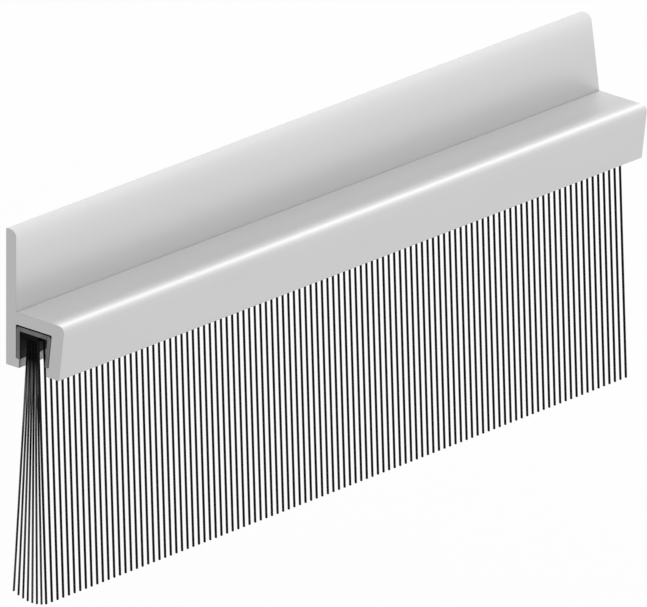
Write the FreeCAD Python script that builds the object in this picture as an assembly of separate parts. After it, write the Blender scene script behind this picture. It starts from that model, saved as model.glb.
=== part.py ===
import FreeCAD, Part
import math
import os

# Door bottom brush seal: an extruded aluminium carrier that is fixed to the face of a door, and in it a bent
# steel channel with black nylon filaments that hang down and brush the floor. It is a short length of seal.
# X runs along the length from the near end to the far end, the front faces -Y, and +Z is up. The origin is in
# the middle of the flange's back face, which lies on the door. Depths are measured forwards from that face,
# and heights upwards from the carrier's foot.

# Carrier extrusion, in millimetres
length = 132.8
carrier_height = 22.0
carrier_depth = 12.0
flange_thickness = 2.05
shelf_height = 8.9
shelf_thickness = 1.97
front_wall_thickness = 2.35
front_wall_lean = 1.1
lip_height = 1.5
back_lip_reach = 0.65
front_lip_reach = 0.5
flange_end_slant = 2.1

# Corner radii of the extrusion
flange_top_radius = 1.1
shelf_nose_radius = 1.0
shelf_root_radius = 0.1
outer_edge_radius = 0.2
cavity_corner_radius = 0.2
lip_edge_radius = 0.12

# Bent steel channel in the carrier
sheet_thickness = 0.7
channel_side_clearance = 0.08
channel_top_clearance = 0.22
channel_outer_radius = 0.5
channel_inner_radius = 0.15

# Fused nylon bead that holds the filaments' roots
bead_height = 0.9
bead_side_margin = 0.05
bead_end_margin = 0.15
bead_corner_radius = 0.05

# Filaments: one row along the front, and a fan from back to front at the near end
filament_diameter = 0.38
filament_sides = 12
filament_reach = 37.39
row_spacing = 1.273
root_end_margin = 0.35
tip_end_margin = 0.2
fan_count = 8
fan_set_in = 1.45
fan_root_spread = 2.07
rank_gap = 0.17
rank_set_back = 0.5
fan_tip_set_back = 2.8
fan_tip_spread = 6.68
trim_set_forward = 3.78
trim_curve = 0.065

near_end = -length / 2
far_end = length / 2
foot = -carrier_height / 2
cavity_top = shelf_height - shelf_thickness
web_top = cavity_top - channel_top_clearance
web_underside = web_top - sheet_thickness
bead_underside = web_underside - bead_height


def place(x, depth, height):
    """The point at a depth in front of the door face and a height above the carrier's foot."""
    return FreeCAD.Vector(x, -depth, foot + height)


def rounded_outline(corners):
    """A closed wire through (depth, height, radius) corners at the near end, each corner turned by an arc."""
    points = [place(near_end, depth, height) for depth, height, radius in corners]
    arcs = []
    for i, (depth, height, radius) in enumerate(corners):
        corner = points[i]
        back = (points[i - 1] - corner).normalize()
        ahead = (points[(i + 1) % len(points)] - corner).normalize()
        half_turn = back.getAngle(ahead) / 2
        reach = radius / math.tan(half_turn)
        inward = (back + ahead).normalize() * (radius / math.sin(half_turn) - radius)
        arcs.append((corner + back * reach, corner + inward, corner + ahead * reach))
    edges = []
    for i, (start, middle, end) in enumerate(arcs):
        edges.append(Part.Arc(start, middle, end).toShape())
        edges.append(Part.LineSegment(end, arcs[(i + 1) % len(arcs)][0]).toShape())
    return Part.Wire(edges)


def extruded(corners, end_margin=0):
    """The outline's solid, run from the near end to the far end, less a margin at both."""
    solid = Part.Face(rounded_outline(corners)).extrude(FreeCAD.Vector(length - 2 * end_margin, 0, 0))
    solid.translate(FreeCAD.Vector(end_margin, 0, 0))
    return solid


def wall_face(height):
    """Depth of the front wall's outer face, which leans in towards its foot."""
    return carrier_depth - front_wall_lean * (1 - height / shelf_height)


def cavity_front(height):
    """Depth of the front wall's inner face."""
    return wall_face(height) - front_wall_thickness


def flange_end_cut():
    """The wedge that trims the flange's far end on a slant, from nothing at the shelf."""
    past = flange_thickness
    top = carrier_height + past
    slope = flange_end_slant / (carrier_height - shelf_height)
    inner_foot = place(far_end, -past, shelf_height)
    inner_top = place(far_end - slope * (top - shelf_height), -past, top)
    outer_top = place(far_end + past, -past, top)
    outer_foot = place(far_end + past, -past, shelf_height)
    side = Part.Face(Part.makePolygon([inner_foot, inner_top, outer_top, outer_foot, inner_foot]))
    return side.extrude(FreeCAD.Vector(0, -flange_thickness - 2 * past, 0))


def carrier_profile():
    """The extrusion: flange, shelf, leaning front wall, and two lips with a mouth between them."""
    back_lip_edge = flange_thickness + back_lip_reach
    front_lip_edge = cavity_front(lip_height) - front_lip_reach
    section = extruded(
        [
            (0, 0, outer_edge_radius),
            (0, carrier_height, outer_edge_radius),
            (flange_thickness, carrier_height, flange_top_radius),
            (flange_thickness, shelf_height, shelf_root_radius),
            (carrier_depth, shelf_height, shelf_nose_radius),
            (wall_face(0), 0, outer_edge_radius),
            (front_lip_edge, 0, lip_edge_radius),
            (front_lip_edge, lip_height, lip_edge_radius),
            (cavity_front(lip_height), lip_height, lip_edge_radius),
            (cavity_front(cavity_top), cavity_top, cavity_corner_radius),
            (flange_thickness, cavity_top, cavity_corner_radius),
            (flange_thickness, lip_height, lip_edge_radius),
            (back_lip_edge, lip_height, lip_edge_radius),
            (back_lip_edge, 0, lip_edge_radius),
        ]
    )
    return section.cut(flange_end_cut())


def channel_front(height):
    """Depth of the front leg's outer face, parallel to the wall that it leans on."""
    return cavity_front(height) - channel_side_clearance


channel_back = flange_thickness + channel_side_clearance
channel_inside_back = channel_back + sheet_thickness
channel_inside_front = channel_front(web_underside) - sheet_thickness


def brush_channel():
    """The bent strip. Its legs stand on the lips."""
    edge = channel_inner_radius / 2
    return extruded(
        [
            (channel_back, lip_height, edge),
            (channel_back, web_top, channel_outer_radius),
            (channel_front(web_top), web_top, channel_outer_radius),
            (channel_front(lip_height), lip_height, edge),
            (channel_front(lip_height) - sheet_thickness, lip_height, edge),
            (channel_inside_front, web_underside, channel_inner_radius),
            (channel_inside_back, web_underside, channel_inner_radius),
            (channel_inside_back, lip_height, edge),
        ]
    )


fan_back_root = channel_inside_back + fan_set_in
fan_back_tip = fan_back_root - fan_tip_set_back
lowest_tip = fan_back_tip + trim_set_forward


def in_second_rank(i):
    """1 for the fan's filaments whose roots stand in the second rank, and else 0. They are counted from the back.

    The roots are too close for one rank, so every other one stands further in from the end and further back.
    """
    return (fan_count - 1 - i) % 2


def root_margin(i):
    """How far the root of the fan's filament i is from the seal's end."""
    return root_end_margin + in_second_rank(i) * (filament_diameter + rank_gap)


def root_depth(i):
    """Depth of the root of the fan's filament i."""
    return fan_back_root + i / (fan_count - 1) * fan_root_spread - in_second_rank(i) * rank_set_back


def root_bead():
    """The strip under the channel's web, as wide as the fan's roots and a margin on each side."""
    depths = [root_depth(i) for i in range(fan_count)]
    beside = filament_diameter / 2 + bead_side_margin
    back = min(depths) - beside
    front = max(depths) + beside
    return extruded(
        [
            (back, bead_underside, bead_corner_radius),
            (back, web_underside, bead_corner_radius / 2),
            (front, web_underside, bead_corner_radius / 2),
            (front, bead_underside, bead_corner_radius),
        ],
        bead_end_margin,
    )


def filament(i, along=0):
    """The fan's filament i, counted from the back, or one like it at a share of the way to the far end.

    Its root sits flat on the bead's underside. The brush is trimmed to a shallow arc, lowest near its middle.
    """
    root_x = near_end + root_margin(i) + along * (length - root_margin(i) - root_end_margin)
    tip_x = near_end + tip_end_margin + along * (length - 2 * tip_end_margin)
    tip_depth = fan_back_tip + i / (fan_count - 1) * fan_tip_spread
    trim_rise = trim_curve * (tip_depth - lowest_tip) ** 2
    root = place(root_x, root_depth(i), bead_underside)
    tip = place(tip_x, tip_depth, trim_rise - filament_reach)
    spoke = FreeCAD.Vector(filament_diameter / 2, 0, 0)
    rim = []
    for side in range(filament_sides):
        turn = FreeCAD.Rotation(FreeCAD.Vector(0, 0, 1), 360 * side / filament_sides)
        rim.append(root + turn.multVec(spoke))
    return Part.Face(Part.makePolygon(rim + rim[:1])).extrude(tip - root)


def front_row_bristles():
    """The row that runs from end to end. Its first filament is also the foremost of the fan."""
    last = round((length - 2 * tip_end_margin) / row_spacing)
    return Part.makeCompound([filament(fan_count - 1, i / last) for i in range(last + 1)])


def end_fan_bristles():
    """The rest of the fan, behind the row's first filament."""
    return Part.makeCompound([filament(i) for i in range(fan_count - 1)])


pieces = {
    "carrier_profile": carrier_profile(),
    "brush_channel": brush_channel(),
    "root_bead": root_bead(),
    "front_row_bristles": front_row_bristles(),
    "end_fan_bristles": end_fan_bristles(),
}

os.makedirs("parts", exist_ok=True)
for node, shape in pieces.items():
    shape.exportStep("parts/" + node + ".step")
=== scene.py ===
import math

import bpy
from mathutils import Matrix, Quaternion, Vector, noise

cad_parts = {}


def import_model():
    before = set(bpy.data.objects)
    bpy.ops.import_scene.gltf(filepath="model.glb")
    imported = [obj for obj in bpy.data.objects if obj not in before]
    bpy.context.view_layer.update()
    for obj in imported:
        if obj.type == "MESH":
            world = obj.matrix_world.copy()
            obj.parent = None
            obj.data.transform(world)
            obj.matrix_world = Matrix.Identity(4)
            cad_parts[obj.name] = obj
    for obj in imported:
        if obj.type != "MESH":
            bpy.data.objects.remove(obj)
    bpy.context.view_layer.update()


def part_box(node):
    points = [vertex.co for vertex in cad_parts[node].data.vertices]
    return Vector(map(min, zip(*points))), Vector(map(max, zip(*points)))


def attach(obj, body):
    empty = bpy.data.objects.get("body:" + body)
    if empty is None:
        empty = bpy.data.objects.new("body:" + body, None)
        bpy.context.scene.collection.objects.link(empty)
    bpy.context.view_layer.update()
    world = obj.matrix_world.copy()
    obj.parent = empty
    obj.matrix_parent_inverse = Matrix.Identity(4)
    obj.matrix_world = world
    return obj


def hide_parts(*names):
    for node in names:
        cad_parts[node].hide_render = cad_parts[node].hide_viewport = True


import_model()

# A door bottom brush seal. Its pieces are modelled at the sizes and places of the part's source, in metres.
# X runs along the length from the near end to the far end, the front faces -Y, and +Z is up. Depths are
# measured forwards from the door's face, and heights upwards from the carrier's foot.
mm = 0.001
square = math.radians(90)

# Places within the tolerance are one place, and corners within the merge distance become one. A direction
# lies along an axis if its share of that axis is more than mostly, and across it if it is less than hardly.
tolerance = 0.01 * mm
merge_distance = 0.001 * mm
mostly = 0.9
hardly = 0.05

# Carrier extrusion
length = 132.8 * mm
carrier_height = 22.0 * mm
carrier_depth = 12.0 * mm
flange_thickness = 2.05 * mm
shelf_height = 8.9 * mm
shelf_thickness = 1.97 * mm
front_wall_thickness = 2.35 * mm
front_wall_lean = 1.1 * mm
lip_height = 1.5 * mm
back_lip_reach = 0.65 * mm
front_lip_reach = 0.5 * mm
flange_end_slant = 2.1 * mm

# Its corners, and the edge that a deburring tool breaks round its cut ends
flange_top_radius = 1.1 * mm
shelf_nose_radius = 1.0 * mm
shelf_root_radius = 0.1 * mm
outer_edge_radius = 0.2 * mm
cavity_corner_radius = 0.2 * mm
lip_edge_radius = 0.12 * mm
carrier_broken_edge = 0.07 * mm

# Bent steel channel in the carrier
sheet_thickness = 0.7 * mm
channel_side_clearance = 0.08 * mm
channel_top_clearance = 0.22 * mm
channel_outer_radius = 0.5 * mm
channel_inner_radius = 0.15 * mm
channel_edge_radius = 0.075 * mm
channel_broken_edge = 0.04 * mm

# Fused nylon bead under the channel's web. Its length is cut in 20 parts and each of these in 10, and their
# corners move for the lumps.
bead_height = 0.9 * mm
bead_end_margin = 0.15 * mm
bead_corner_radius = 0.05 * mm
bead_parts = (20, 10)
lump_size = 0.9 * mm
lump_rise = 0.05 * mm
lump_inset = 0.03 * mm

# Filaments: a row along the front, and at the near end a fan behind the row's first one, which its count
# takes in. Those of the fan are drawn thinner than the source's 0.38 mm, so that daylight shows between.
filament_diameter = 0.38 * mm
fan_diameter = 0.34 * mm
filament_sides = 10
filament_reach = 37.39 * mm
tip_break = 0.05 * mm
root_sunk = 0.12 * mm
row_spacing = 1.273 * mm
root_end_margin = 0.35 * mm
tip_end_margin = 0.2 * mm
fan_count = 8
fan_set_in = 1.45 * mm
fan_root_spread = 2.07 * mm
rank_gap = 0.17 * mm
rank_set_back = 0.5 * mm
fan_tip_set_back = 2.8 * mm
fan_tip_spread = 6.68 * mm
trim_set_forward = 3.78 * mm
trim_curve = 0.065 / mm

# Painted light and shade on the fan's filaments: black above this height, as painted shade inside the
# carrier, palest one run below it, as painted light where the packed filaments shade one another, and faded
# after two
painted_shade_height = 2 * mm
painted_light_run = 6 * mm

# Faces that turn by less than the flat turn become one, and edges where they turn by more than the cut turn
# are those of a cut end. Edges stay sharp where the faces turn by more than a sharp turn.
flat_turn = math.radians(0.2)
cut_turn = math.radians(60)
metal_sharp_turn = math.radians(35)
bead_sharp_turn = math.radians(50)
filament_sharp_turn = math.radians(40)

# Bent shading, matched to the photograph's greys: how far it turns at the sides of a face, the share of its
# own turn that the flange's rounded edge keeps, and the shares of a face at which it is scored, so that there
# are corners for the shading to change at
flange_top_shading_turn = math.radians(31)
flange_foot_shading_turn = math.radians(5.5)
flange_rounding_kept = 0.1
flange_scores = (0.25, 0.5, 0.75)
shelf_root_shading_turn = math.radians(10)
shelf_nose_shading_turn = math.radians(24)
shelf_flattest_share = 0.66
shelf_scores = (shelf_flattest_share / 2, shelf_flattest_share, 0.78, 0.9)
wall_top_shading_turn = math.radians(11)
wall_shading_foot = 6.6 * mm

# Camera, with its azimuth and elevation in degrees, and its lens and sensor in millimetres
camera_azimuth = -47.976
camera_elevation = 20.531
camera_distance = 4.43
camera_target = Vector((-2.371, -6.916, -17.066)) * mm
camera_roll = math.radians(0.258)
camera_lens = 1614.2
camera_sensor = 36

# Studio
floor_side = 12
floor_drop = 170 * mm
floor_glow = 0.51
soft_light = 0.5
soft_box_distance = 3.6
soft_box_side = 1.8

# Places worked out from these sizes
foot = -carrier_height / 2
near_end = -length / 2
wall_slope = front_wall_lean / shelf_height
lean_turn = math.atan(wall_slope)
cavity_top = shelf_height - shelf_thickness
flange_face_height = carrier_height - flange_top_radius - shelf_height
nose_reach = shelf_nose_radius / math.tan((square - lean_turn) / 2)
nose_start = carrier_depth - nose_reach
nose_foot = shelf_height - nose_reach * math.cos(lean_turn)
shelf_face_depth = nose_start - flange_thickness
channel_back = flange_thickness + channel_side_clearance
channel_inside_back = channel_back + sheet_thickness
web_top = cavity_top - channel_top_clearance
web_underside = web_top - sheet_thickness
bead_underside = web_underside - bead_height
fan_back_root = channel_inside_back + fan_set_in
fan_back_tip = fan_back_root - fan_tip_set_back
lowest_tip = fan_back_tip + trim_set_forward

# A Mix node has sockets for each kind of value. These are its two colours, and the mixed one.
first_colour = 6
second_colour = 7
mixed_colour = 2


def place(x, depth, height):
    """The point at a depth in front of the door's face and a height above the carrier's foot."""
    return Vector((x, -depth, foot + height))


def depth_and_height(point):
    """The depth in front of the door's face and the height above the carrier's foot of a point."""
    return -point.y, point.z - foot


def near(value, wanted):
    """Whether a depth or height is the wanted one, within the tolerance."""
    return abs(value - wanted) < tolerance


def deselect_all():
    """Leaves no object selected."""
    bpy.ops.object.select_all(action="DESELECT")


def pick(piece):
    """Makes one piece the only selected one, and the active one."""
    deselect_all()
    piece.select_set(True)
    bpy.context.view_layer.objects.active = piece


def linear(code):
    """The linear colour of an sRGB hex code."""
    channels = [int(code[i : i + 2], 16) / 255 for i in (1, 3, 5)]
    return tuple(c / 12.92 if c <= 0.04045 else ((c + 0.055) / 1.055) ** 2.4 for c in channels) + (1.0,)


def add_node(tree, kind, inputs=None, **settings):
    """Adds a node with its settings. An input that is a socket is linked, and any other is a fixed value."""
    made = tree.nodes.new("ShaderNode" + kind)
    for name, value in settings.items():
        setattr(made, name, value)
    for name, value in (inputs or {}).items():
        if isinstance(value, bpy.types.NodeSocket):
            tree.links.new(value, made.inputs[name])
        else:
            made.inputs[name].default_value = value
    return made


def new_material(name):
    """An empty material and its node tree."""
    material = bpy.data.materials.new(name)
    material.use_nodes = True
    material.node_tree.nodes.clear()
    return material, material.node_tree


def put_out(tree, shader):
    """Ends a material's node tree in its shader."""
    add_node(tree, "OutputMaterial", {"Surface": shader.outputs[0]})


def pattern_vector(tree, cell):
    """Object coordinates in which one unit is a cell of (x, y, z) metres."""
    point = add_node(tree, "TexCoord").outputs["Object"]
    scale = [1 / side for side in cell]
    return add_node(tree, "Mapping", {"Vector": point, "Scale": scale}).outputs["Vector"]


# Finishes


def satin_anodised_aluminium():
    """Extruded, etched and clear anodised aluminium.

    It is a pale neutral grey with a soft sheen. The die leaves faint lines along the length, about 0.2 mm
    apart and drawn here at 0.3 mm so that they show. They make the sheen a little uneven across the profile.
    """
    material, tree = new_material("satin_anodised_aluminium")
    lines = add_node(
        tree,
        "TexNoise",
        {"Vector": pattern_vector(tree, (45 * mm, 0.3 * mm, 0.3 * mm)), "Scale": 1.0, "Detail": 3.0},
    )
    haze = add_node(
        tree,
        "TexNoise",
        {"Vector": pattern_vector(tree, (30 * mm, 6 * mm, 6 * mm)), "Scale": 1.0, "Detail": 2.0},
    )
    colour = add_node(
        tree,
        "Mix",
        {"Factor": haze.outputs["Fac"], first_colour: linear("#D5D5D5"), second_colour: linear("#D0D0D0")},
        data_type="RGBA",
    )
    sheen = add_node(
        tree,
        "MapRange",
        {"Value": lines.outputs["Fac"], "From Min": 0.3, "From Max": 0.7, "To Min": 0.43, "To Max": 0.47},
    )
    bump = add_node(
        tree,
        "Bump",
        {"Height": lines.outputs["Fac"], "Strength": 0.15, "Distance": 0.004 * mm},
    )
    metal = add_node(
        tree,
        "BsdfPrincipled",
        {
            "Base Color": colour.outputs[mixed_colour],
            "Metallic": 1.0,
            "Roughness": sheen.outputs["Result"],
            "Normal": bump.outputs["Normal"],
        },
    )
    put_out(tree, metal)
    return material


def saw_cut_aluminium():
    """The ends, cut to length after anodising, so bare: duller, with fine marks of the saw blade's teeth.

    The marks are about 0.2 mm apart and run on a slant, because the blade came down from above.
    """
    material, tree = new_material("saw_cut_aluminium")
    marks = add_node(
        tree,
        "TexWave",
        {
            "Vector": pattern_vector(tree, (1 * mm, 1 * mm, 1 * mm)),
            "Scale": 2.1,
            "Distortion": 1.5,
            "Detail": 3.0,
            "Detail Scale": 1.5,
        },
        bands_direction="DIAGONAL",
    )
    colour = add_node(
        tree,
        "Mix",
        {"Factor": marks.outputs["Fac"], first_colour: linear("#BEBEBE"), second_colour: linear("#C1C1C1")},
        data_type="RGBA",
    )
    bump = add_node(
        tree,
        "Bump",
        {"Height": marks.outputs["Fac"], "Strength": 0.2, "Distance": 0.01 * mm},
    )
    metal = add_node(
        tree,
        "BsdfPrincipled",
        {
            "Base Color": colour.outputs[mixed_colour],
            "Metallic": 1.0,
            "Roughness": 0.5,
            "Normal": bump.outputs["Normal"],
        },
    )
    put_out(tree, metal)
    return material


def galvanised_steel(name, dark, light):
    """Zinc-coated strip steel: dull grey with small spangles, about 1.5 mm across, that differ a little."""
    material, tree = new_material(name)
    spangle = add_node(
        tree,
        "TexVoronoi",
        {"Vector": pattern_vector(tree, (1.5 * mm, 1.5 * mm, 1.5 * mm)), "Scale": 1.0},
    )
    shade = add_node(tree, "SeparateColor", {"Color": spangle.outputs["Color"]})
    colour = add_node(
        tree,
        "Mix",
        {"Factor": shade.outputs["Red"], first_colour: linear(dark), second_colour: linear(light)},
        data_type="RGBA",
    )
    dullness = add_node(
        tree,
        "MapRange",
        {"Value": shade.outputs["Green"], "To Min": 0.45, "To Max": 0.6},
    )
    grain = add_node(
        tree,
        "TexNoise",
        {"Vector": pattern_vector(tree, (0.2 * mm, 0.2 * mm, 0.2 * mm)), "Scale": 1.0, "Detail": 3.0},
    )
    bump = add_node(
        tree,
        "Bump",
        {"Height": grain.outputs["Fac"], "Strength": 0.3, "Distance": 0.01 * mm},
    )
    metal = add_node(
        tree,
        "BsdfPrincipled",
        {
            "Base Color": colour.outputs[mixed_colour],
            "Metallic": 1.0,
            "Roughness": dullness.outputs["Result"],
            "Normal": bump.outputs["Normal"],
        },
    )
    put_out(tree, metal)
    return material


def painted_light_and_shade(tree, paleness, pale_colour):
    """The paleness and the colour of painted light on the filaments below the carrier, and of painted shade
    inside it.

    They are black above the painted shade's height, palest one run below it, as painted light where the
    packed filaments shade one another, and fade over the next.
    """
    point = add_node(tree, "TexCoord").outputs["Object"]
    height = add_node(tree, "SeparateXYZ", {"Vector": point}).outputs["Z"]
    # Above this height the filaments stay black: painted shade inside the carrier.
    top = foot + painted_shade_height
    middle = top - painted_light_run
    growth = add_node(tree, "MapRange", {"Value": height, "From Min": top, "From Max": middle})
    fading = add_node(tree, "MapRange", {"Value": height, "From Min": middle, "From Max": middle - painted_light_run})
    grown = add_node(tree, "Math", {0: paleness, 1: growth.outputs["Result"]}, operation="MULTIPLY")
    # The palest colour is painted light, where the packed filaments shade one another just below the carrier.
    faded = add_node(
        tree,
        "Mix",
        {"Factor": fading.outputs["Result"], first_colour: linear("#B4B4B4"), second_colour: pale_colour},
        data_type="RGBA",
    )
    return grown.outputs[0], faded.outputs[mixed_colour]


def black_nylon(name, grain, pale, relief, contrast=1, paints_light_and_shade=False):
    """Polyamide dyed black, drawn or fused: near black with a slight plastic sheen and a little paler marks.

    Grain is the size of the marks and relief their height, in metres. A contrast above 1 parts them into
    black ones and pale ones. The specular level is low, because the photograph shows no highlight on it.
    """
    material, tree = new_material(name)
    marks = add_node(
        tree,
        "TexNoise",
        {"Vector": pattern_vector(tree, grain), "Scale": 1.0, "Detail": 2.0},
    )
    parted = add_node(
        tree,
        "MapRange",
        {"Value": marks.outputs["Fac"], "From Min": 0.5 - 0.5 / contrast, "From Max": 0.5 + 0.5 / contrast},
    )
    paleness = parted.outputs["Result"]
    pale_colour = linear(pale)
    # The fan's filaments get painted shade inside the carrier and painted light below it.
    if paints_light_and_shade:
        paleness, pale_colour = painted_light_and_shade(tree, paleness, pale_colour)
    colour = add_node(
        tree,
        "Mix",
        {"Factor": paleness, first_colour: linear("#010101"), second_colour: pale_colour},
        data_type="RGBA",
    )
    sheen = add_node(
        tree,
        "MapRange",
        {"Value": marks.outputs["Fac"], "To Min": 0.42, "To Max": 0.58},
    )
    bump = add_node(
        tree,
        "Bump",
        {"Height": marks.outputs["Fac"], "Strength": 0.3, "Distance": relief},
    )
    plastic = add_node(
        tree,
        "BsdfPrincipled",
        {
            "Base Color": colour.outputs[mixed_colour],
            "Roughness": sheen.outputs["Result"],
            "IOR": 1.53,
            "Specular IOR Level": 0.05,
            "Normal": bump.outputs["Normal"],
        },
    )
    put_out(tree, plastic)
    return material


def fused_nylon():
    """The bead, molten and set: blackest of all, with low lumps."""
    return black_nylon("fused_black_nylon", (0.5 * mm, 0.35 * mm, 0.35 * mm), "#060606", 0.03 * mm)


def row_nylon():
    """Drawn filament: near black, with short dark grey streaks along it."""
    return black_nylon("black_nylon_filament", (0.1 * mm, 0.1 * mm, 4 * mm), "#2C2C2C", 0.004 * mm)


def fan_nylon():
    """The same filament at the cut end, with painted light and shade.

    It is black inside the carrier as painted shade, and below it painted light in long streaks of grey and
    black, where the filaments stand out of the carrier's shade and each catches the light differently.
    """
    return black_nylon(
        "painted_light_nylon_filament",
        (0.22 * mm, 0.22 * mm, 25 * mm),
        # The pale streaks are painted light on filaments that stand out of the carrier's shade.
        "#606060",
        0.004 * mm,
        contrast=6,
        paints_light_and_shade=True,
    )


# Shaping by hand


def choose(piece, kind, test):
    """Goes into edit mode with only those faces, edges or corners selected that pass a test.

    The test gets the depth and height of each one's middle, and a face's normal, an edge's direction or a
    corner's point.
    """
    pick(piece)
    bpy.ops.object.mode_set(mode="EDIT")
    bpy.ops.mesh.select_mode(type=kind)
    bpy.ops.mesh.select_all(action="DESELECT")
    bpy.ops.object.mode_set(mode="OBJECT")
    mesh = piece.data
    if kind == "FACE":
        found = [(face, face.center, face.normal) for face in mesh.polygons]
    elif kind == "EDGE":
        found = []
        for edge in mesh.edges:
            start, end = [mesh.vertices[i].co for i in edge.vertices]
            found.append((edge, (start + end) / 2, (end - start).normalized()))
    else:
        found = [(corner, corner.co, corner.co) for corner in mesh.vertices]
    for part, middle, way in found:
        part.select = test(*depth_and_height(middle), way)
    bpy.ops.object.mode_set(mode="EDIT")


def choose_all(piece):
    """Goes into edit mode with the whole piece selected."""
    pick(piece)
    bpy.ops.object.mode_set(mode="EDIT")
    bpy.ops.mesh.select_mode(type="FACE")
    bpy.ops.mesh.select_all(action="SELECT")


def done():
    """Goes back to object mode."""
    bpy.ops.object.mode_set(mode="OBJECT")


def bar(name, back, front, bottom, top, end_margin=0):
    """A block from end to end, less a margin at both, between two depths and two heights."""
    bpy.ops.mesh.primitive_cube_add(
        size=1,
        location=place(0, (back + front) / 2, (bottom + top) / 2),
        scale=(length - 2 * end_margin, front - back, top - bottom),
    )
    piece = bpy.context.object
    piece.name = name
    piece.data.name = name
    pick(piece)
    bpy.ops.object.transform_apply(location=True, rotation=True, scale=True)
    return piece


def score_at_depth(piece, depth):
    """Cuts edges right round the bar at a depth."""
    choose_all(piece)
    bpy.ops.mesh.bisect(plane_co=place(0, depth, 0), plane_no=(0, 1, 0))
    done()


def score_at_height(piece, height):
    """Cuts edges right round the bar at a height."""
    choose_all(piece)
    bpy.ops.mesh.bisect(plane_co=place(0, 0, height), plane_no=(0, 0, 1))
    done()


def extrude(piece, test, forwards=0, up=0):
    """Pulls the chosen faces out, forwards from the door or up."""
    choose(piece, "FACE", test)
    bpy.ops.mesh.extrude_region_move(TRANSFORM_OT_translate={"value": (0, -forwards, up)})
    done()


def lean_back(piece, behind, top):
    """Leans what is in front of a depth and under a height towards the door, more towards its foot."""
    for corner in piece.data.vertices:
        depth, height = depth_and_height(corner.co)
        if depth > behind and height < top - tolerance:
            corner.co.y += wall_slope * (top - height)


def clean(piece):
    """Joins flat neighbours into whole faces."""
    choose_all(piece)
    bpy.ops.mesh.remove_doubles(threshold=merge_distance)
    bpy.ops.mesh.dissolve_limited(angle_limit=flat_turn)
    bpy.ops.mesh.normals_make_consistent(inside=False)
    done()


def round_corner(piece, edge_depth, edge_height, radius, turn=square, steps=5):
    """Rounds the long edge at a depth and height. The turn is the angle between its two faces."""

    def is_edge(depth, height, way):
        return abs(way.x) > mostly and near(depth, edge_depth) and near(height, edge_height)

    choose(piece, "EDGE", is_edge)
    reach = radius / math.tan(turn / 2)
    bpy.ops.mesh.bevel(offset=reach, offset_type="OFFSET", segments=steps, profile=0.5, affect="EDGES")
    done()


def finish_ends(piece, long_finish, end_finish, broken_edge):
    """Gives a bar its finish and its cut ends theirs, with a narrow bevel round them."""
    end_slot = 1
    piece.data.materials.append(long_finish)
    piece.data.materials.append(end_finish)
    for face in piece.data.polygons:
        if abs(face.normal.x) > mostly:
            face.material_index = end_slot
    bevel = piece.modifiers.new("broken_ends", "BEVEL")
    bevel.width = broken_edge
    bevel.segments = 2
    bevel.limit_method = "ANGLE"
    bevel.angle_limit = cut_turn
    bevel.use_clamp_overlap = False
    bevel.material = end_slot
    pick(piece)
    bpy.ops.object.modifier_apply(modifier=bevel.name)


def smooth(piece, sharp_turn):
    """Shades the piece smooth, apart from its sharp edges."""
    pick(piece)
    bpy.ops.object.shade_smooth_by_angle(angle=sharp_turn)


def shade_metal(piece):
    """Smooth over the rounded corners, and flat on the flat faces, because the widest face decides."""
    smooth(piece, metal_sharp_turn)
    even = piece.modifiers.new("flat_faces_stay_flat", "WEIGHTED_NORMAL")
    even.keep_sharp = True
    even.weight = 100
    bpy.ops.object.modifier_apply(modifier=even.name)


def finish_piece(piece, node):
    """Makes a piece ride on the seal and stand for its solid."""
    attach(piece, "root")
    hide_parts(node)


# Bent shading. Each rule gets the depth and height of a face's corner and the upward turn of its shading, and
# gives the turn that the real one shows.


def root_shading(depth, height, turn):
    """The sharp corner between flange and shelf is shaded as the flange's foot, and catches no light."""
    return -flange_foot_shading_turn


def flange_shading(depth, height, turn):
    """The flange's front, its rounded top edge and its flat top."""
    share = max(0, min(1, (height - shelf_height) / flange_face_height))
    by_top = share**2 * flange_top_shading_turn
    by_foot = (1 - share) * flange_foot_shading_turn
    return flange_rounding_kept * turn + by_top - by_foot


def shelf_shading(depth, height, turn):
    """The shelf and its rounded nose, which turns from the shelf's shading to the wall's."""
    if depth < nose_start + tolerance:
        share = (depth - flange_thickness) / shelf_face_depth
        past_flattest = max(0, share - shelf_flattest_share) / (1 - shelf_flattest_share)
        by_root = max(0, 1 - share / shelf_flattest_share) * shelf_root_shading_turn
        by_nose = past_flattest**2 * shelf_nose_shading_turn
        return square - by_root - by_nose
    whole_turn = square + lean_turn
    bent_turn = whole_turn - shelf_nose_shading_turn - wall_top_shading_turn
    return square - shelf_nose_shading_turn - (square - turn) / whole_turn * bent_turn


def wall_shading(depth, height, turn):
    """The front wall, under its nose."""
    share = max(0, height - wall_shading_foot) / (nose_foot - wall_shading_foot)
    return turn + share * wall_top_shading_turn


def shading_rule(face):
    """The rule for a face, or nothing where its own shading is right."""
    depth, height = depth_and_height(face.center)
    if abs(face.normal.x) > hardly:
        return None
    if depth < flange_thickness + shelf_root_radius and abs(height - shelf_height) < shelf_root_radius:
        return root_shading
    if height > shelf_height and (face.normal.y < -hardly or near(height, carrier_height)):
        return flange_shading
    if face.normal.z > mostly and near(height, shelf_height):
        return shelf_shading
    if depth > nose_start and height > nose_foot:
        return shelf_shading
    if depth > nose_start and height > wall_shading_foot:
        return wall_shading
    return None


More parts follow.
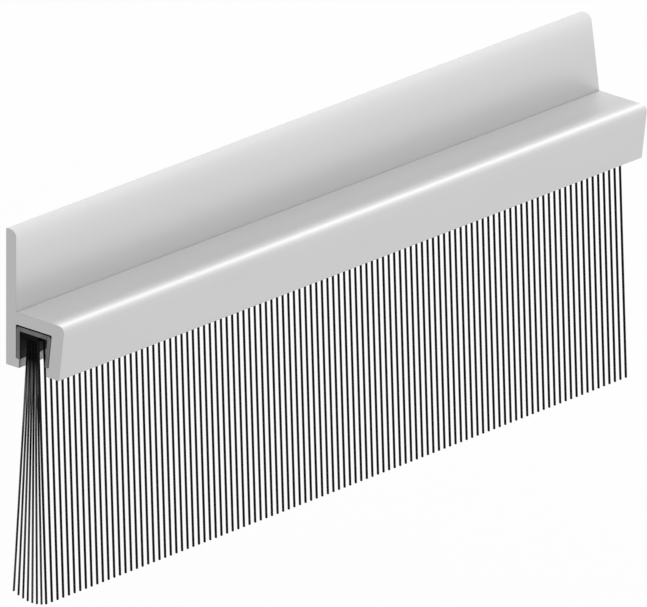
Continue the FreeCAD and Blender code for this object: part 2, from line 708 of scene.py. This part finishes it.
def bend_shading(piece):
    """Bends the shading of the flange, the shelf and the top of the wall, and leaves the shape as it is.

    Wide flat walls come out of the die a trace hollow, and polishing softens the edges beside the roundings.
    That is far too little to measure, but a satin face shows it as even gradients.
    """
    mesh = piece.data
    normals = [corner.vector.copy() for corner in mesh.corner_normals]
    for face in mesh.polygons:
        rule = shading_rule(face)
        if rule is None:
            continue
        for i in face.loop_indices:
            depth, height = depth_and_height(mesh.vertices[mesh.loops[i].vertex_index].co)
            turn = rule(depth, height, math.atan2(normals[i].z, -normals[i].y))
            normals[i] = Vector((0, -math.cos(turn), math.sin(turn)))
    mesh.normals_split_custom_set(normals)


# Carrier, channel and bead


def wall_face(height):
    """Depth of the front wall's outer face."""
    return carrier_depth - front_wall_lean + wall_slope * height


def cavity_front(height):
    """Depth of the front wall's inner face."""
    return wall_face(height) - front_wall_thickness


def channel_front(height):
    """Depth of the channel's front leg, outside."""
    return cavity_front(height) - channel_side_clearance


def carrier():
    """The extrusion: a flange, a shelf pulled out of it, a front wall under that, and a lip on each side."""
    piece = bar("anodised_carrier", 0, flange_thickness, 0, carrier_height)
    for edge_height in (lip_height, cavity_top, shelf_height):
        score_at_height(piece, edge_height)
    extrude(
        piece,
        lambda depth, height, way: way.y < -mostly and cavity_top < height < shelf_height,
        forwards=carrier_depth - flange_thickness,
    )
    wall_inside = carrier_depth - front_wall_thickness
    score_at_depth(piece, wall_inside)
    for drop in (cavity_top - lip_height, lip_height):
        extrude(piece, lambda depth, height, way: way.z < -mostly and depth > wall_inside, up=-drop)
    cavity_middle = (flange_thickness + wall_inside) / 2
    lean_back(piece, cavity_middle, shelf_height)
    extrude(
        piece,
        lambda depth, height, way: way.y > mostly and depth > flange_thickness and height < lip_height,
        forwards=-front_lip_reach,
    )
    front_lip_edge = cavity_front(lip_height) - front_lip_reach
    lip_limit = cavity_front(0) - tolerance
    # The edge of this lip leans with the wall that it was pulled out of, so it is set upright.
    choose(
        piece,
        "VERT",
        lambda depth, height, point: cavity_middle < depth < lip_limit and height < lip_height + tolerance,
    )
    bpy.ops.transform.resize(value=(1, 0, 1), center_override=place(0, front_lip_edge, 0))
    done()
    extrude(
        piece,
        lambda depth, height, way: way.y < -mostly and near(depth, flange_thickness) and height < lip_height,
        forwards=back_lip_reach,
    )
    choose(piece, "VERT", lambda depth, height, point: point.x > 0 and near(height, carrier_height))
    bpy.ops.transform.translate(value=(-flange_end_slant, 0, 0))
    done()
    clean(piece)
    back_lip_edge = flange_thickness + back_lip_reach
    keen = square - lean_turn
    blunt = square + lean_turn
    round_corner(piece, 0, 0, outer_edge_radius)
    round_corner(piece, 0, carrier_height, outer_edge_radius)
    round_corner(piece, flange_thickness, carrier_height, flange_top_radius, steps=10)
    round_corner(piece, flange_thickness, shelf_height, shelf_root_radius)
    round_corner(piece, carrier_depth, shelf_height, shelf_nose_radius, keen, steps=14)
    round_corner(piece, wall_face(0), 0, outer_edge_radius, blunt)
    round_corner(piece, front_lip_edge, 0, lip_edge_radius)
    round_corner(piece, front_lip_edge, lip_height, lip_edge_radius)
    round_corner(piece, cavity_front(lip_height), lip_height, lip_edge_radius, keen)
    round_corner(piece, cavity_front(cavity_top), cavity_top, cavity_corner_radius, keen)
    round_corner(piece, flange_thickness, cavity_top, cavity_corner_radius)
    round_corner(piece, flange_thickness, lip_height, lip_edge_radius)
    round_corner(piece, back_lip_edge, lip_height, lip_edge_radius)
    round_corner(piece, back_lip_edge, 0, lip_edge_radius)
    for share in flange_scores:
        score_at_height(piece, shelf_height + share * flange_face_height)
    score_at_height(piece, wall_shading_foot)
    for share in shelf_scores:
        score_at_depth(piece, flange_thickness + share * shelf_face_depth)
    finish_ends(piece, satin_anodised_aluminium(), saw_cut_aluminium(), carrier_broken_edge)
    shade_metal(piece)
    bend_shading(piece)
    finish_piece(piece, "carrier_profile")


def channel():
    """The strip: a web with a leg pulled down on each side, and bends at its corners."""
    front = channel_front(web_top)
    upright_inside = front - sheet_thickness
    piece = bar("galvanised_channel", channel_back, front, web_underside, web_top)
    score_at_depth(piece, channel_inside_back)
    score_at_depth(piece, upright_inside)
    extrude(
        piece,
        lambda depth, height, way: way.z < -mostly and not channel_inside_back < depth < upright_inside,
        up=lip_height - web_underside,
    )
    lean_back(piece, (channel_back + front) / 2, web_top)
    clean(piece)
    inside_front = channel_front(web_underside) - sheet_thickness
    keen = square - lean_turn
    round_corner(piece, channel_back, web_top, channel_outer_radius, steps=8)
    round_corner(piece, front, web_top, channel_outer_radius, keen, steps=8)
    round_corner(piece, channel_inside_back, web_underside, channel_inner_radius)
    round_corner(piece, inside_front, web_underside, channel_inner_radius, keen)
    leg_front = channel_front(lip_height)
    for edge_depth in (channel_back, channel_inside_back, leg_front, leg_front - sheet_thickness):
        round_corner(piece, edge_depth, lip_height, channel_edge_radius, steps=3)
    # The strip's long faces are painted darker than the steel is, as painted shade inside the carrier's
    # channel; its sheared ends keep a lighter grey.
    strip = galvanised_steel("shaded_galvanised_steel_strip", "#454545", "#525252")
    sheared_end = galvanised_steel("sheared_steel_end", "#6B6B6B", "#7B7B7B")
    finish_ends(piece, strip, sheared_end, channel_broken_edge)
    shade_metal(piece)
    finish_piece(piece, "brush_channel")


def bead():
    """The fused roots under the web: a bar as wide as its solid, which sets with small lumps outside."""
    low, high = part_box("root_bead")
    back = -high.y
    front = -low.y
    piece = bar("fused_root_bead", back, front, bead_underside, web_underside, bead_end_margin)
    for parts in bead_parts:
        choose(piece, "EDGE", lambda depth, height, way: abs(way.x) > mostly)
        bpy.ops.mesh.subdivide(number_cuts=parts - 1)
        done()
    for edge_depth in (back, front):
        round_corner(piece, edge_depth, bead_underside, bead_corner_radius, steps=3)
    for corner in piece.data.vertices:
        if corner.co.z < high.z - tolerance:
            share = 0.5 + 0.5 * noise.noise(corner.co / lump_size)
            to_middle = 1 if -corner.co.y > (back + front) / 2 else -1
            corner.co.z += lump_rise * share
            corner.co.y += to_middle * lump_inset * share
    smooth(piece, bead_sharp_turn)
    piece.data.materials.append(fused_nylon())
    finish_piece(piece, "root_bead")


# Filaments


def one_filament(diameter):
    """A filament that hangs straight down from the origin, with its trimmed tip's rim broken."""
    bpy.ops.mesh.primitive_cylinder_add(
        vertices=filament_sides,
        radius=diameter / 2,
        depth=filament_reach,
        end_fill_type="NGON",
        location=(0, 0, -filament_reach / 2),
    )
    piece = bpy.context.object
    pick(piece)
    bpy.ops.object.transform_apply(location=True, rotation=True, scale=True)
    tip_height = -filament_reach - foot
    choose(piece, "EDGE", lambda depth, height, way: near(height, tip_height))
    bpy.ops.mesh.bevel(offset=tip_break, offset_type="OFFSET", segments=1, affect="EDGES")
    done()
    return piece


def hang(pattern, i, along=0):
    """A copy of the filament as the fan's number i from the back, or at a share of the way to the far end.

    The fan's roots stand in two ranks: every other one is further in from the end and further back. Each root
    is sunk a little into the bead.
    """
    second_rank = (fan_count - 1 - i) % 2
    across = i / (fan_count - 1)
    near_margin = root_end_margin + second_rank * (filament_diameter + rank_gap)
    root_x = near_end + near_margin + along * (length - near_margin - root_end_margin)
    tip_x = near_end + tip_end_margin + along * (length - 2 * tip_end_margin)
    root_depth = fan_back_root + across * fan_root_spread - second_rank * rank_set_back
    tip_depth = fan_back_tip + across * fan_tip_spread
    rise = trim_curve * (tip_depth - lowest_tip) ** 2
    root = place(root_x, root_depth, bead_underside)
    tip = place(tip_x, tip_depth, rise - filament_reach)
    root += (root - tip).normalized() * root_sunk
    # The pattern's Z leans to run from tip to root, and its sections stay level.
    lean = Matrix.Identity(4)
    lean.col[2] = (root - tip).to_4d() / filament_reach
    lean[3][2] = 0
    copy = pattern.copy()
    copy.data = pattern.data.copy()
    copy.data.transform(Matrix.Translation(root) @ lean)
    bpy.context.scene.collection.objects.link(copy)
    return copy


def brush_piece(name, node, filaments, finish):
    """Joins filaments into one piece that stands for a node."""
    deselect_all()
    for filament in filaments:
        filament.select_set(True)
    bpy.context.view_layer.objects.active = filaments[0]
    bpy.ops.object.join()
    piece = bpy.context.object
    piece.name = name
    piece.data.name = name
    piece.data.materials.append(finish)
    smooth(piece, filament_sharp_turn)
    finish_piece(piece, node)


def brush():
    """The row from end to end, and the fan behind its first filament."""
    row_pattern = one_filament(filament_diameter)
    fan_pattern = one_filament(fan_diameter)
    last = round((length - 2 * tip_end_margin) / row_spacing)
    row = [hang(row_pattern, fan_count - 1, i / last) for i in range(last + 1)]
    fan = [hang(fan_pattern, i) for i in range(fan_count - 1)]
    bpy.data.objects.remove(row_pattern)
    bpy.data.objects.remove(fan_pattern)
    brush_piece("nylon_front_row", "front_row_bristles", row, row_nylon())
    brush_piece("nylon_end_fan", "end_fan_bristles", fan, fan_nylon())


# Studio


def towards(azimuth, elevation):
    """The direction of a place round the object, from azimuth and elevation in degrees."""
    around = math.radians(azimuth)
    above = math.radians(elevation)
    return Vector((math.sin(around) * math.cos(above), -math.cos(around) * math.cos(above), math.sin(above)))


def look_back(piece, way):
    """Turns a camera or lamp that stands in a direction from the object to face back along it."""
    piece.rotation_mode = "QUATERNION"
    piece.rotation_quaternion = (-way).to_track_quat("-Z", "Y")


def camera():
    """Far off with a long lens, because the photograph's long edges run almost parallel."""
    way = towards(camera_azimuth, camera_elevation)
    bpy.ops.object.camera_add(location=camera_target + way * camera_distance)
    made = bpy.context.object
    look_back(made, way)
    made.rotation_quaternion @= Quaternion((0, 0, 1), camera_roll)
    made.data.sensor_width = camera_sensor
    made.data.lens = camera_lens
    made.data.clip_start = 0.1
    made.data.clip_end = 50
    bpy.context.scene.camera = made


def seen_directly(tree):
    """1 for the camera's rays and for those that metal mirrors or glass lets through, and else 0."""
    path = add_node(tree, "LightPath")
    shown = add_node(
        tree,
        "Math",
        {0: path.outputs["Is Camera Ray"], 1: path.outputs["Is Glossy Ray"]},
        operation="MAXIMUM",
    )
    through = path.outputs["Is Transmission Ray"]
    return add_node(tree, "Math", {0: shown.outputs[0], 1: through}, operation="MAXIMUM").outputs[0]


def floor():
    """A pale floor well below the seal, which hangs from its door and not on the floor."""
    bpy.ops.mesh.primitive_plane_add(size=floor_side, location=(0, 0, -floor_drop))
    made = bpy.context.object
    made.name = "studio_floor"
    material, tree = new_material("pale_studio_floor")
    matt = add_node(tree, "BsdfDiffuse", {"Color": linear("#E6E6E6")})
    glow = add_node(tree, "Emission", {"Strength": floor_glow})
    lit = add_node(tree, "AddShader", {0: matt.outputs[0], 1: glow.outputs[0]})
    mixed = add_node(tree, "MixShader", {0: seen_directly(tree), 1: matt.outputs[0], 2: lit.outputs[0]})
    put_out(tree, mixed)
    made.data.materials.append(material)


def world():
    """White where it is seen, and a plain soft light on the object."""
    made = bpy.data.worlds.new("studio_white")
    made.use_nodes = True
    bpy.context.scene.world = made
    tree = made.node_tree
    tree.nodes.clear()
    soft = add_node(tree, "Background", {"Color": linear("#FFFFFF"), "Strength": soft_light})
    white = add_node(tree, "Background", {"Color": linear("#FFFFFF"), "Strength": 1.0})
    mixed = add_node(tree, "MixShader", {0: seen_directly(tree), 1: soft.outputs[0], 2: white.outputs[0]})
    add_node(tree, "OutputWorld", {"Surface": mixed.outputs[0]})


def soft_box(name, azimuth, elevation, power):
    """A square lamp that faces the seal from an azimuth and elevation in degrees, with its power in watts."""
    way = towards(azimuth, elevation)
    bpy.ops.object.light_add(type="AREA", location=way * soft_box_distance)
    made = bpy.context.object
    made.name = name
    look_back(made, way)
    made.data.shape = "SQUARE"
    made.data.size = soft_box_side
    made.data.energy = power
    made.visible_camera = False


carrier()
channel()
bead()
brush()
camera()
floor()
world()
soft_box("soft_box_above", azimuth=90, elevation=50, power=10.8)
soft_box("soft_box_right", azimuth=75, elevation=15, power=7.2)
soft_box("soft_box_front", azimuth=70, elevation=40, power=4.5)

bpy.context.scene.view_settings.view_transform = "Standard"
